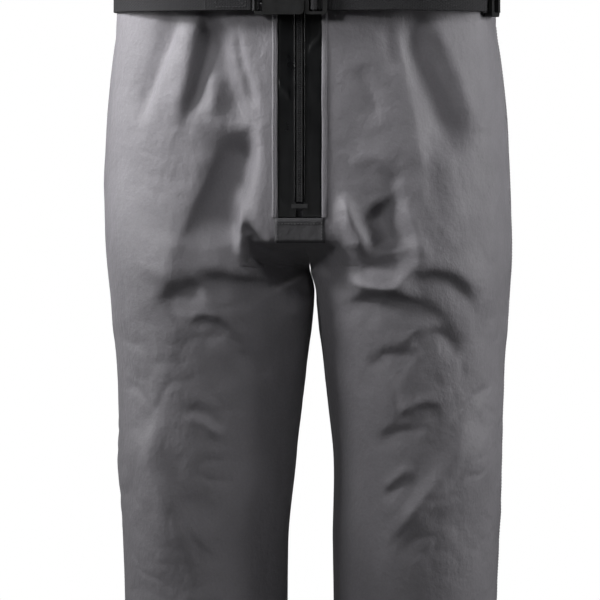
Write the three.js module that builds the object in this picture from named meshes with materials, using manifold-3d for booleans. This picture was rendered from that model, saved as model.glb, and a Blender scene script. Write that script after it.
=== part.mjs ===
// Protective work trousers with a full-length front zip and a webbing belt, in millimetres.
// +Z is up, the front faces -Y and the wearer's left side is +X. The hems stand on z = 0.
import * as THREE from "three";
import { mergeVertices } from "three/addons/utils/BufferGeometryUtils.js";
import Module from "manifold-3d";

const wasm = await Module();
wasm.setup();

// ---------------------------------------------------------------- driving dimensions

const GAP = 0.4; // between pieces that are sewn or laid face to face
const CLOTH = 2.4; // shell fabric with its lining
const HEM_HEIGHT = 28;
const HEM_CLOTH = 3.6; // the hem is folded double
const CROTCH_Z = 798;
const FULL_HIP_Z = 862; // from here up the two halves are one oval
const BAND_Z = 1076; // lower edge of the waistband
const TOP_Z = 1146;
const WAIST_SIDE = 201.7;
const WAIST_FRONT = 130;
const WAIST_BACK = 136;
const HIP_BACK = 152;
const LEG_ROUND = 2.15; // superellipse exponents: legs are near round, the waist is squarer
const WAIST_ROUND = 2.6;

// Height, outer half width, inner edge of the leg, front depth and back depth.
// An inner edge below zero is where the two legs have grown into each other.
const STATIONS = [
  [0, 188, 27, 84, 86],
  [150, 190, 26.5, 86, 92],
  [300, 194, 26, 90, 97],
  [441, 199, 25, 97, 94],
  [510, 202, 24, 101, 98],
  [600, 205, 19.5, 106, 106],
  [665, 206.5, 12, 111, 114],
  [700, 208, 8.5, 114, 119],
  [730, 211, 4.3, 117, 125],
  [762, 213, 1.6, 121, 131],
  [785, 215, 0.6, 125, 137],
  [CROTCH_Z, 216, 0, 127, 141],
  [803, 216.3, -3, 128, 143],
  [810, 216.6, -14, 128.5, 145],
  [820, 217, -45, 129, 147],
  [832, 217.2, -100, 129.6, 149],
  [845, 217.2, -165, WAIST_FRONT, 151],
  [FULL_HIP_Z, 217, -217, WAIST_FRONT, HIP_BACK],
  [890, 216.7, -216.7, WAIST_FRONT, HIP_BACK],
  [925, 215, -215, WAIST_FRONT, 150],
  [955, 213.5, -213.5, WAIST_FRONT, 147.5],
  [986, 210.8, -210.8, WAIST_FRONT, 144],
  [1018, 207, -207, WAIST_FRONT, 140],
  [1056, WAIST_SIDE, -WAIST_SIDE, WAIST_FRONT, WAIST_BACK],
  [TOP_Z, WAIST_SIDE, -WAIST_SIDE, WAIST_FRONT, WAIST_BACK],
];

const ZIP = {
  opening: 23, // half width of the window cut in the cloth
  bottom: 850,
  tape: 1,
  tapeFace: -129.7,
  chain: 3.1, // half width of the closed chain
  chainDepth: 4,
  pitch: 4.4,
  chainBottom: 867,
  chainTop: 1139,
};
const SLIDER = { bottom: 1115, length: 23, halfWidth: 7.6, plate: 1.8 };
const PULL = { barRadius: 0.9, length: 21, halfWidth: 5, thick: 2 };
const BELT = {
  z: 1087,
  height: 38,
  thick: 1.8,
  side: 205.6,
  front: 142.9,
  back: 139.9,
  flat: 66, // half length of the straight stretch behind the buckle
  frontRound: 2.3,
};
const BUCKLE = {
  halfHeight: 23,
  back: -139.6,
  front: -HIP_BACK,
  left: -47,
  bodyLeft: -37,
  mouth: 6,
  right: 30,
};
const PAD = { thick: 5, bottom: 60, top: 785 };

// ---------------------------------------------------------------- solids

function toSolid(geometry) {
  const g = geometry.index ? geometry.toNonIndexed() : geometry.clone();
  g.deleteAttribute("normal");
  g.deleteAttribute("uv");
  const merged = mergeVertices(g, 1e-3);
  const mesh = new wasm.Mesh({
    numProp: 3,
    vertProperties: merged.attributes.position.array,
    triVerts: new Uint32Array(merged.index.array),
  });
  return new wasm.Manifold(mesh);
}

function toGeometry(solid) {
  const mesh = solid.getMesh();
  const points = new Float32Array(mesh.numVert * 3);
  for (let i = 0; i < mesh.numVert; i++) {
    points.set(mesh.vertProperties.subarray(i * mesh.numProp, i * mesh.numProp + 3), i * 3);
  }
  const geometry = new THREE.BufferGeometry();
  geometry.setAttribute("position", new THREE.BufferAttribute(points, 3));
  geometry.setIndex(new THREE.BufferAttribute(mesh.triVerts, 1));
  return geometry;
}

// A block from its lowest to its highest corner.
function block([x0, y0, z0], [x1, y1, z1]) {
  const geometry = new THREE.BoxGeometry(x1 - x0, y1 - y0, z1 - z0);
  return toSolid(geometry.translate((x0 + x1) / 2, (y0 + y1) / 2, (z0 + z1) / 2));
}

// A flat outline in X and Y, drawn up from z = from to z = to.
function upright(points, from, to, holes = []) {
  const shape = new THREE.Shape(points.map(([x, y]) => new THREE.Vector2(x, y)));
  for (const hole of holes) {
    shape.holes.push(new THREE.Path(hole.map(([x, y]) => new THREE.Vector2(x, y))));
  }
  const geometry = new THREE.ExtrudeGeometry(shape, { depth: to - from, bevelEnabled: false });
  return toSolid(geometry.translate(0, 0, from));
}

function circle(x, y, radius, corners = 20) {
  const turn = (i) => (i / corners) * 2 * Math.PI;
  return Array.from({ length: corners }, (_, i) => [
    x + radius * Math.cos(turn(i)),
    y + radius * Math.sin(turn(i)),
  ]);
}

// A block with the four edges that run along Y rounded.
function roundedPlate([x0, y0, z0], [x1, y1, z1], radius) {
  const shape = new THREE.Shape();
  shape.moveTo(x0 + radius, z0);
  shape.lineTo(x1 - radius, z0);
  shape.absarc(x1 - radius, z0 + radius, radius, -Math.PI / 2, 0, false);
  shape.lineTo(x1, z1 - radius);
  shape.absarc(x1 - radius, z1 - radius, radius, 0, Math.PI / 2, false);
  shape.lineTo(x0 + radius, z1);
  shape.absarc(x0 + radius, z1 - radius, radius, Math.PI / 2, Math.PI, false);
  shape.lineTo(x0, z0 + radius);
  shape.absarc(x0 + radius, z0 + radius, radius, Math.PI, 1.5 * Math.PI, false);
  const plate = new THREE.ExtrudeGeometry(shape, {
    depth: y1 - y0,
    bevelEnabled: false,
    curveSegments: 5,
  });
  plate.rotateX(Math.PI / 2); // the extrusion now runs from y = 0 to -depth
  return toSolid(plate.translate(0, y1, 0));
}

// A closed sheet from two grids of points, outer and inner, with the same rows and columns.
function sheetSolid(outer, inner) {
  const rows = outer.length;
  const columns = outer[0].length;
  const points = [...outer.flat(), ...inner.flat()].flatMap((p) => p);
  const at = (side, i, j) => side * rows * columns + i * columns + j;
  const index = [];
  const quad = (a, b, c, d) => index.push(a, b, c, a, c, d);
  for (let i = 0; i + 1 < rows; i++) {
    for (let j = 0; j + 1 < columns; j++) {
      quad(at(0, i, j), at(0, i, j + 1), at(0, i + 1, j + 1), at(0, i + 1, j));
      quad(at(1, i, j), at(1, i + 1, j), at(1, i + 1, j + 1), at(1, i, j + 1));
    }
    const last = columns - 1;
    quad(at(0, i, 0), at(0, i + 1, 0), at(1, i + 1, 0), at(1, i, 0));
    quad(at(0, i, last), at(1, i, last), at(1, i + 1, last), at(0, i + 1, last));
  }
  for (let j = 0; j + 1 < columns; j++) {
    const last = rows - 1;
    quad(at(0, 0, j), at(1, 0, j), at(1, 0, j + 1), at(0, 0, j + 1));
    quad(at(0, last, j), at(0, last, j + 1), at(1, last, j + 1), at(1, last, j));
  }
  const geometry = new THREE.BufferGeometry();
  geometry.setAttribute("position", new THREE.Float32BufferAttribute(points, 3));
  const solid = (order) => toSolid(geometry.clone().setIndex(order));
  const made = solid(index);
  return made.volume() > 0 ? made : solid(index.toReversed());
}

// ---------------------------------------------------------------- the body of the trousers

// One column of STATIONS at height z: a cubic through the stations that never overshoots them.
function station(column, z) {
  const last = STATIONS.length - 1;
  let i = 0;
  while (i < last - 1 && STATIONS[i + 1][0] < z) i++;
  const slope = (k) => {
    if (k < 0 || k >= last) return 0;
    return (STATIONS[k + 1][column] - STATIONS[k][column]) / (STATIONS[k + 1][0] - STATIONS[k][0]);
  };
  const tangent = (k) => {
    const [before, after] = [slope(k - 1), slope(k)];
    return before * after <= 0 ? 0 : (2 * before * after) / (before + after);
  };
  const [z0, z1] = [STATIONS[i][0], STATIONS[i + 1][0]];
  const h = z1 - z0;
  const t = Math.min(1, Math.max(0, (z - z0) / h));
  const [t2, t3] = [t * t, t * t * t];
  return (
    (2 * t3 - 3 * t2 + 1) * STATIONS[i][column] +
    (t3 - 2 * t2 + t) * h * tangent(i) +
    (3 * t2 - 2 * t3) * STATIONS[i + 1][column] +
    (t3 - t2) * h * tangent(i + 1)
  );
}

function roundness(z) {
  const t = Math.min(1, Math.max(0, (z - 700) / (FULL_HIP_Z - 700)));
  return LEG_ROUND + (WAIST_ROUND - LEG_ROUND) * t * t * (3 - 2 * t);
}

// A point of the right half's outer surface. along runs from 0 at the side seam to 1 at the inner
// seam or, over the crotch, at the centre line; facing is -1 on the front panel and +1 on the back.
function bodyPoint(z, along, facing) {
  const side = station(1, z);
  const inner = z >= FULL_HIP_Z ? -side : station(2, z);
  const depth = station(facing < 0 ? 3 : 4, z);
  const power = 2 / roundness(z);
  const centre = (side + inner) / 2;
  const half = (side - inner) / 2;
  const reach = Math.min(1, centre / half); // how far towards the inner edge the half goes
  const end = inner >= 0 ? Math.PI : Math.PI - Math.acos(Math.pow(reach, 1 / power));
  const a = end * along;
  const c = Math.cos(a);
  return [
    centre + half * Math.sign(c) * Math.pow(Math.abs(c), power),
    facing * depth * Math.pow(Math.max(0, Math.sin(a)), power),
    z,
  ];
}

function bodyNormal(z, along, facing) {
  const vector = (zz, aa) => new THREE.Vector3(...bodyPoint(zz, aa, facing));
  const a = Math.min(0.985, Math.max(0.015, along));
  const down = vector(z - 1, a);
  const up = vector(z + 1, a);
  const across = vector(z, a + 0.01).sub(vector(z, a - 0.01));
  return up.sub(down).cross(across).multiplyScalar(-facing).normalize();
}

// A sheet that follows the body's surface, from one depth under it to another.
function bodySheet(heights, fractions, facing, topSkin, underSkin) {
  const grid = (depth) =>
    heights.map((z) =>
      fractions.map((along) => {
        const [x, y] = bodyPoint(z, along, facing);
        const n = bodyNormal(z, along, facing);
        const px = Math.max(GAP / 2, x - n.x * depth);
        const py = facing * Math.max(GAP / 2, facing * (y - n.y * depth));
        return [px, py, z];
      }),
    );
  return sheetSolid(grid(topSkin), grid(underSkin));
}

const steps = (from, to, count) =>
  Array.from({ length: count + 1 }, (_, i) => from + ((to - from) * i) / count);

const PANEL_HEIGHTS = [
  HEM_HEIGHT + GAP,
  ...[110, 220, 330, 441, 510, 580, 640, 690, 730, 762, 785, CROTCH_Z],
  ...[803, 810, 820, 832, 845, FULL_HIP_Z, 890, 925, 955, 986, 1018, 1056],
  BAND_Z - GAP,
];
const PANEL_COLUMNS = 11;

const zipWindow = block([-ZIP.opening, -200, ZIP.bottom], [ZIP.opening, -100, TOP_Z + 10]);

const mirrored = (solid) => solid.mirror([1, 0, 0]);

function panel(facing) {
  const whole = bodySheet(PANEL_HEIGHTS, steps(0, 1, PANEL_COLUMNS), facing, 0, CLOTH);
  return facing < 0 ? whole.subtract(zipWindow) : whole;
}

// Ovals round the waist, used by the waistband and the belt.
function waistOval(angle, offset) {
  const power = 2 / WAIST_ROUND;
  const [c, s] = [Math.cos(angle), Math.sin(angle)];
  const depth = s < 0 ? WAIST_FRONT : WAIST_BACK;
  return [
    (WAIST_SIDE + offset) * Math.sign(c) * Math.pow(Math.abs(c), power),
    (depth + offset) * Math.sign(s) * Math.pow(Math.abs(s), power),
  ];
}

function bandPiece(from, to) {
  const angles = steps(from, to, 18);
  const outline = [
    ...angles.map((a) => waistOval(a, 0)),
    ...angles.toReversed().map((a) => waistOval(a, -CLOTH)),
  ];
  return upright(outline, BAND_Z, TOP_Z).subtract(zipWindow);
}

function hemRing() {
  const ring = (offset) =>
    steps(0, 2 * Math.PI, 40)
      .slice(0, -1)
      .map((a) => {
        const power = 2 / LEG_ROUND;
        const [, side, inner, front, back] = STATIONS[0];
        const [c, s] = [Math.cos(a), Math.sin(a)];
        const half = (side - inner) / 2 + offset;
        const depth = (s < 0 ? front : back) + offset;
        return [
          (side + inner) / 2 + half * Math.sign(c) * Math.pow(Math.abs(c), power),
          depth * Math.sign(s) * Math.pow(Math.abs(s), power),
        ];
      });
  return upright(ring(0.8), 0, HEM_HEIGHT, [ring(0.8 - HEM_CLOTH).toReversed()]);
}

function protectivePad() {
  const heights = PANEL_HEIGHTS.filter((z) => z >= PAD.bottom && z <= PAD.top);
  const under = CLOTH + 0.8;
  const fractions = steps(0, 1, PANEL_COLUMNS).slice(1, -1);
  return bodySheet(heights, fractions, -1, under, under + PAD.thick);
}

// ---------------------------------------------------------------- zip

const chainBack = ZIP.tapeFace + ZIP.tape / 2 + ZIP.chainDepth / 2 - 0.5;

// One half of the chain: a spine with teeth that reach past the middle between the other's teeth.
function chainHalf(shift) {
  const { chain, pitch, chainBottom, chainTop, chainDepth } = ZIP;
  const spine = chain - 1.5;
  const tip = -1.2;
  const toothHalf = pitch * 0.2;
  const outline = [[chain, chainBottom]];
  outline.push([chain, chainTop], [spine, chainTop]);
  const count = Math.floor((chainTop - chainBottom) / pitch) - 1;
  for (let i = count; i >= 0; i--) {
    const z = chainBottom + pitch * (i + 0.35 + shift);
    outline.push([spine, z + toothHalf], [tip, z + toothHalf * 0.8]);
    outline.push([tip, z - toothHalf * 0.8], [spine, z - toothHalf]);
  }
  outline.push([spine, chainBottom]);
  const shape = new THREE.Shape(outline.map(([x, z]) => new THREE.Vector2(x, z)));
  const geometry = new THREE.ExtrudeGeometry(shape, { depth: chainDepth, bevelEnabled: false });
  geometry.rotateX(Math.PI / 2);
  return toSolid(geometry.translate(0, chainBack, 0));
}

function zipTape() {
  const [inner, outer] = [ZIP.chain + GAP, ZIP.opening - GAP];
  return block([inner, ZIP.tapeFace, ZIP.bottom + GAP], [outer, ZIP.tapeFace + ZIP.tape, TOP_Z]);
}

const sliderTop = SLIDER.bottom + SLIDER.length;
const plateBack = ZIP.tapeFace - ZIP.tape - 1.9; // the face towards the chain
const plateFront = plateBack - SLIDER.plate;
const pivot = { y: plateFront - 1.3, z: sliderTop - 5.5 };

// The front plate, with flanges down to the tape and the bridge that carries the pull.
function sliderFront() {
  const { halfWidth, bottom } = SLIDER;
  const plate = roundedPlate([-halfWidth, plateFront, bottom], [halfWidth, plateBack, sliderTop], 3);
  const flange = (side) => {
    const [a, b] = [side * (halfWidth - 1.4), side * halfWidth];
    const low = [Math.min(a, b), plateBack - 0.5, bottom + 4];
    return block(low, [Math.max(a, b), ZIP.tapeFace - GAP, sliderTop - 4]);
  };
  const bridgeFront = pivot.y - 2.9;
  const bridge = block([-2.2, bridgeFront, bottom + 2], [2.2, plateFront + 0.5, sliderTop - 1]);
  const eye = block([-3, pivot.y - 1.3, bottom + 4.5], [3, plateFront, sliderTop - 3.4]);
  return plate.add(flange(1)).add(flange(-1)).add(bridge).subtract(eye);
}

function sliderBack() {
  const { halfWidth, bottom, plate } = SLIDER;
  const face = chainBack + 0.5;
  return roundedPlate([-halfWidth, face, bottom], [halfWidth, face + plate, sliderTop], 3);
}

function pullTab() {
  const { barRadius, length, halfWidth, thick } = PULL;
  const bar = new THREE.CylinderGeometry(barRadius, barRadius, 2 * halfWidth - 1, 12);
  bar.rotateZ(Math.PI / 2);
  const [y0, y1] = [pivot.y - thick / 2, pivot.y + thick / 2 - 0.2];
  const low = pivot.z - length;
  const tab = roundedPlate([-halfWidth, y0, low], [halfWidth, y1, pivot.z + 0.6], 1.6);
  const eye = block([-3, y0 - 1, pivot.z - 16.8], [3, y1 + 1, pivot.z + 2]);
  return tab.subtract(eye).add(toSolid(bar.translate(0, pivot.y, pivot.z)));
}

// ---------------------------------------------------------------- belt

// The belt's middle line: angle 0 is the wearer's left side, and -90 degrees the front.
function beltPoint(angle, offset = 0) {
  const [c, s] = [Math.cos(angle), Math.sin(angle)];
  if (s >= 0) {
    const power = 2 / WAIST_ROUND;
    const x = (BELT.side + offset) * Math.sign(c) * Math.pow(Math.abs(c), power);
    return [x, (BELT.back + offset) * Math.pow(s, power)];
  }
  const power = 2 / BELT.frontRound;
  const run = BELT.side + offset - BELT.flat;
  const x = Math.sign(c) * (BELT.flat + run * Math.pow(Math.abs(c), power));
  return [x, -(BELT.front + offset) * Math.pow(-s, power)];
}

const BELT_LOW = BELT.z - BELT.height / 2;
const BELT_HIGH = BELT.z + BELT.height / 2;
const FRONT = -Math.PI / 2;

// The two bars that the webbing is looped round, and the radius of each.
const housingBar = { x: BUCKLE.left + 2, y: -143.6, radius: 1.9 };
const plugBar = { x: 16.5, y: -148, radius: 1.8 };

// The strap runs from its sewn loop on the housing's bar, round the back, to behind the plug.
function beltWebbing() {
  const angles = steps(FRONT + 2 * Math.PI - 1e-6, FRONT + 1e-6, 92);
  const side = (offset) => angles.map((a) => beltPoint(a, offset));
  const half = BELT.thick / 2;
  const close = (offset) => [
    [housingBar.x, -(BELT.front + offset)],
    ...side(offset),
    [9, -(BELT.front + offset)],
  ];
  const band = upright([...close(half), ...close(-half).toReversed()], BELT_LOW, BELT_HIGH);
  const loop = upright(circle(housingBar.x, housingBar.y, housingBar.radius + 2.2), BELT_LOW, BELT_HIGH);
  const eye = upright(
    circle(housingBar.x, housingBar.y, housingBar.radius + GAP),
    BELT_LOW - 1,
    BELT_HIGH + 1,
  );
  return band.add(loop).subtract(eye);
}

// The end of the strap, folded round the plug's middle bar and tucked behind its outer bar.
function webbingFold() {
  const outer = plugBar.radius + 2.1;
  const back = plugBar.y + outer;
  const ring = upright(circle(plugBar.x, plugBar.y, outer), BELT_LOW + 0.4, BELT_HIGH - 0.4);
  const leg = upright(
    [
      [plugBar.x, back],
      [33, back],
      [33, back - BELT.thick],
      [plugBar.x, back - BELT.thick],
    ].toReversed(),
    BELT_LOW + 0.4,
    BELT_HIGH - 0.4,
  );
  const eye = circle(plugBar.x, plugBar.y, plugBar.radius + GAP);
  return ring.add(leg).subtract(upright(eye, BELT_LOW - 1, BELT_HIGH + 1));
}

const bar = (at) => upright(circle(at.x, at.y, at.radius), BELT.z - 21, BELT.z + 21);

function buckleHousing() {
  const { left, bodyLeft, mouth, back, front, halfHeight } = BUCKLE;
  const [low, high] = [BELT.z - halfHeight, BELT.z + halfHeight];
  const body = roundedPlate([bodyLeft, front, low], [mouth, back, high], 5);
  const rails = roundedPlate([left, -147, low], [bodyLeft + 6, back - 1, high], 3);
  const slotHalf = BELT.height / 2 + 0.7;
  const slot = block([left - 1, front - 1, BELT.z - slotHalf], [bodyLeft - 1.5, back + 1, BELT.z + slotHalf]);
  const cavity = block([-31, -149.2, BELT.z - 19.2], [mouth + 1, -143.7, BELT.z + 19.2]);
  const windows = block([-25, -149.2, low - 1], [-7, -143.7, high + 1]);
  const thumb = new THREE.CylinderGeometry(14, 14, 20, 28); // rounded bites for finger and thumb
  thumb.rotateX(Math.PI / 2);
  const bite = (sign) => toSolid(thumb.clone().translate(-16, -146, BELT.z + sign * 35));
  const frame = rails.subtract(slot).add(bar(housingBar));
  const hollowed = body.subtract(slot).add(frame).subtract(cavity).subtract(windows);
  return hollowed.subtract(bite(1)).subtract(bite(-1));
}

const PRONG = { root: 4.3, tip: -28, axis: 16.4, half: 2.3, low: -148.7, high: -144.3 };

function bucklePlug() {
  const { mouth, right, halfHeight } = BUCKLE;
  const [low, high] = [BELT.z - halfHeight, BELT.z + halfHeight];
  const base = roundedPlate([mouth + GAP, -150.4, low], [right, -144.2, high], 3.5);
  const slotHalf = BELT.height / 2 + 0.7;
  const window = block([11, -160, BELT.z - slotHalf], [25.6, -140, BELT.z + slotHalf]);
  const relief = block([25, -146.3, BELT.z - slotHalf], [right + 1, -140, BELT.z + slotHalf]);
  const tongue = roundedPlate([-22, PRONG.low, BELT.z - 3.4], [mouth + 3, PRONG.high, BELT.z + 3.4], 2);
  return base.subtract(window).subtract(relief).add(bar(plugBar)).add(tongue);
}

// One springy arm of the plug, bending at its root; its pad shows in the housing's window.
function prong() {
  const { root, tip, axis, half, low, high } = PRONG;
  const arm = new THREE.Shape();
  arm.moveTo(root, axis + half);
  arm.lineTo(-5, axis + half);
  arm.lineTo(-24, axis + half);
  arm.quadraticCurveTo(tip, axis + half, tip, axis - 1);
  arm.lineTo(tip + 2, axis - 3.4);
  arm.lineTo(-9, axis - 3.4);
  arm.lineTo(-6, axis - half + 1);
  arm.lineTo(root, axis - half + 1);
  arm.absarc(root, axis + 0.5, half - 0.5, -Math.PI / 2, Math.PI / 2, false);
  const geometry = new THREE.ExtrudeGeometry(arm, {
    depth: high - low,
    bevelEnabled: false,
    curveSegments: 6,
  });
  geometry.rotateX(Math.PI / 2);
  return toSolid(geometry.translate(0, high, BELT.z));
}

// ---------------------------------------------------------------- pieces that sit on the belt

// Lays a piece made at the origin, with x along the belt and y inwards, at an angle of the belt.
function onBelt(solid, angle) {
  const [x, y] = beltPoint(angle);
  const [x1, y1] = beltPoint(angle + 0.01);
  const turn = (Math.atan2(y1 - y, x1 - x) * 180) / Math.PI;
  return solid.rotate([0, 0, turn]).translate([x, y, BELT.z]);
}

// A three-bar slide: the strap passes behind the end bars and in front of the middle one.
function triGlide() {
  const [halfLength, halfHeight, slotHalf] = [13, 24.5, BELT.height / 2 + 0.8];
  const plate = roundedPlate([-halfLength, -5, -halfHeight], [halfLength, 3.4, halfHeight], 4);
  const slotBehind = block([-20, -1.4, -slotHalf], [20, 10, slotHalf]);
  const slotThrough = block([-halfLength + 4.5, -10, -slotHalf], [halfLength - 4.5, 10, slotHalf]);
  const middle = block([-2, 1.6, -slotHalf - 1], [2, 3.4, slotHalf + 1]);
  return plate.subtract(slotBehind).subtract(slotThrough).add(middle);
}

// A sewn loop of shell fabric that keeps the belt up: tabs on the cloth, a bridge over the belt.
function beltLoop() {
  const [cloth, bridge, thick] = [3.9 - GAP, -1.4, 1.3];
  const inside = BELT.height / 2 + 2.2;
  const outside = inside + thick;
  const tab = outside + 9;
  const strip = (z0, z1, y0, y1) => block([-7, y0, z0], [7, y1, z1]);
  return strip(-outside, outside, bridge - thick, bridge)
    .add(strip(inside, outside, bridge - 0.1, cloth))
    .add(strip(-outside, -inside, bridge - 0.1, cloth))
    .add(strip(outside - 0.1, tab, cloth - thick, cloth))
    .add(strip(-tab, 0.1 - outside, cloth - thick, cloth));
}

// ---------------------------------------------------------------- the assembly

const finishes = {
  shell: { color: 0x6f6e73, roughness: 0.55, metalness: 0 },
  shellTrim: { color: 0x77767b, roughness: 0.6, metalness: 0 },
  lining: { color: 0x2f3033, roughness: 0.8, metalness: 0 },
  tape: { color: 0x17181a, roughness: 0.3, metalness: 0 },
  teeth: { color: 0x1d1e20, roughness: 0.45, metalness: 0 },
  slider: { color: 0x202124, roughness: 0.35, metalness: 0.6 },
  webbing: { color: 0x2b2a2e, roughness: 0.75, metalness: 0 },
  plastic: { color: 0x1b1c1e, roughness: 0.4, metalness: 0 },
};
const materials = Object.fromEntries(
  Object.entries(finishes).map(([name, look]) => [name, new THREE.MeshStandardMaterial(look)]),
);

const trousers = new THREE.Group();

function add(name, solid, finish) {
  const mesh = new THREE.Mesh(toGeometry(solid), materials[finish]);
  mesh.name = name;
  trousers.add(mesh);
}

const front = panel(-1);
const back = panel(1);
add("front_panel_left", front, "shell");
add("front_panel_right", mirrored(front), "shell");
add("back_panel_left", back, "shell");
add("back_panel_right", mirrored(back), "shell");

const seam = GAP / WAIST_SIDE / 2;
add("waistband_left", bandPiece(FRONT, -seam), "shellTrim");
add("waistband_right", bandPiece(FRONT, -Math.PI + seam), "shellTrim");
add("waistband_back", bandPiece(seam, Math.PI - seam), "shellTrim");

const hem = hemRing();
add("hem_left", hem, "shellTrim");
add("hem_right", mirrored(hem), "shellTrim");

const pad = protectivePad();
add("protective_pad_left", pad, "lining");
add("protective_pad_right", mirrored(pad), "lining");

add("zip_tape_left", zipTape(), "tape");
add("zip_tape_right", mirrored(zipTape()), "tape");
add("zip_teeth_left", chainHalf(0), "teeth");
add("zip_teeth_right", mirrored(chainHalf(0.5)), "teeth");
const stopBack = ZIP.tapeFace - GAP;
add("zip_bottom_stop", block([-8.5, stopBack - 2.4, 860.5], [8.5, stopBack, 865]), "plastic");
const topStop = block([3.6, stopBack - 2.2, 1139.5], [7.2, stopBack, 1144]);
add("zip_top_stop_left", topStop, "plastic");
add("zip_top_stop_right", mirrored(topStop), "plastic");
const stripY = [-WAIST_FRONT - GAP - 0.9, -WAIST_FRONT - GAP];
const facing = block([ZIP.opening, stripY[0], ZIP.bottom], [ZIP.opening + 7, stripY[1], BAND_Z - GAP]);
add("zip_facing_left", facing, "shellTrim");
add("zip_facing_right", mirrored(facing), "shellTrim");
add("zip_end_patch", block([-26, stripY[0], 826], [26, stripY[1], ZIP.bottom - GAP]), "shellTrim");
add("fly_guard", block([-29, -124.9, 852], [29, -123.3, TOP_Z - 2]), "lining");

add("zip_slider_front", sliderFront(), "slider");
add("zip_slider_back", sliderBack(), "slider");
add("zip_pull", pullTab(), "plastic");

add("belt_webbing", beltWebbing(), "webbing");
add("webbing_fold", webbingFold(), "webbing");
add("buckle_housing", buckleHousing(), "plastic");
add("buckle_plug", bucklePlug(), "plastic");
add("buckle_prong_upper", prong(), "plastic");
add("buckle_prong_lower", prong().mirror([0, 0, 1]).translate([0, 0, 2 * BELT.z]), "plastic");
add("tri_glide", onBelt(triGlide(), -0.33), "plastic");

const loopAngles = {
  belt_loop_back: Math.PI / 2,
  belt_loop_back_left: Math.PI / 2 - 0.62,
  belt_loop_back_right: Math.PI / 2 + 0.62,
  belt_loop_side_left: 0.3,
  belt_loop_side_right: Math.PI - 0.3,
};
for (const [name, angle] of Object.entries(loopAngles)) {
  add(name, onBelt(beltLoop(), angle), "shellTrim");
}

export default trousers;
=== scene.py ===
"""Grey protective trousers with a front zip and a webbing belt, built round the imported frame.

Metres, +Z up, the front faces -Y and the wearer's left side is +X.
"""

import math

import bpy
import numpy as np
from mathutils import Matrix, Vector


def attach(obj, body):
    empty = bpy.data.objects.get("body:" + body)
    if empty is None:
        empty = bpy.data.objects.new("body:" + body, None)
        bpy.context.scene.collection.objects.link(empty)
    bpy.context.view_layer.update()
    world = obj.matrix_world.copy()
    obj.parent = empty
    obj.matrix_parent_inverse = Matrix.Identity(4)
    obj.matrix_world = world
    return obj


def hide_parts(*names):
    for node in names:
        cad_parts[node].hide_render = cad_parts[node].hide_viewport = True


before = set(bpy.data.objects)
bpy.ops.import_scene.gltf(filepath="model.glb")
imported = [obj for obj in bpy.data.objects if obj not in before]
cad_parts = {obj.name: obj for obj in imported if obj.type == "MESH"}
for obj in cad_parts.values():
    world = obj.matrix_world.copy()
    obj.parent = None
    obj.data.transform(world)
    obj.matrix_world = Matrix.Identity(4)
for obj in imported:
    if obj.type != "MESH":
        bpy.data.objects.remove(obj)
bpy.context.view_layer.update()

MM = 0.001
GARMENT = "garment"
SIDES = {"left": 1, "right": -1}

# ---------------- camera and light

YAW = math.radians(3.5)
CAMERA_DISTANCE = 8.0
CAMERA_HEIGHT = 0.93
SENSOR = 36
FRAME_WIDTH = 0.642
AIM = Vector((-0.0075, 0.0, 0.761))


def look_at(obj, target):
    obj.rotation_euler = (Vector(target) - obj.location).to_track_quat("-Z", "Y").to_euler()


def placed(name, data):
    obj = bpy.data.objects.new(name, data)
    bpy.context.scene.collection.objects.link(obj)
    return obj


def add_camera():
    data = bpy.data.cameras.new("camera")
    camera = placed("camera", data)
    level = math.sqrt(CAMERA_DISTANCE**2 - (CAMERA_HEIGHT - AIM.z) ** 2)
    side = Vector((math.sin(YAW), -math.cos(YAW), 0)) * level
    camera.location = AIM + side + Vector((0, 0, CAMERA_HEIGHT - AIM.z))
    look_at(camera, AIM)
    data.sensor_width = SENSOR
    data.lens = SENSOR * CAMERA_DISTANCE / FRAME_WIDTH
    data.clip_end = 100
    bpy.context.scene.camera = camera


def add_area_light(name, place, target, size, power, spread):
    data = bpy.data.lights.new(name, "AREA")
    data.shape = "RECTANGLE"
    data.size, data.size_y = size
    data.energy = power
    data.spread = math.radians(spread)
    light = placed(name, data)
    light.location = place
    light.visible_camera = False
    look_at(light, target)


def add_world(ambient):
    """White behind the object, and a dim even light from all round."""
    world = bpy.data.worlds.new("studio")
    bpy.context.scene.world = world
    world.use_nodes = True
    nodes, links = world.node_tree.nodes, world.node_tree.links
    nodes.clear()
    path = nodes.new("ShaderNodeLightPath")
    mix = nodes.new("ShaderNodeMixShader")
    links.new(path.outputs["Is Camera Ray"], mix.inputs["Fac"])
    for socket, strength in ((1, ambient), (2, 1.0)):
        light = nodes.new("ShaderNodeBackground")
        light.inputs["Color"].default_value = (1, 1, 1, 1)
        light.inputs["Strength"].default_value = strength
        links.new(light.outputs[0], mix.inputs[socket])
    out = nodes.new("ShaderNodeOutputWorld")
    links.new(mix.outputs[0], out.inputs["Surface"])


def add_floor(material):
    mesh = bpy.data.meshes.new("floor")
    half, level = 6.5, -0.5 * MM
    corners = [(-half, -half, level), (half, -half, level), (half, half, level), (-half, half, level)]
    mesh.from_pydata(corners, [], [(0, 1, 2, 3)])
    mesh.materials.append(material)
    floor = placed("floor", mesh)
    floor.visible_diffuse = False
    floor.visible_glossy = False


# ---------------- materials


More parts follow.
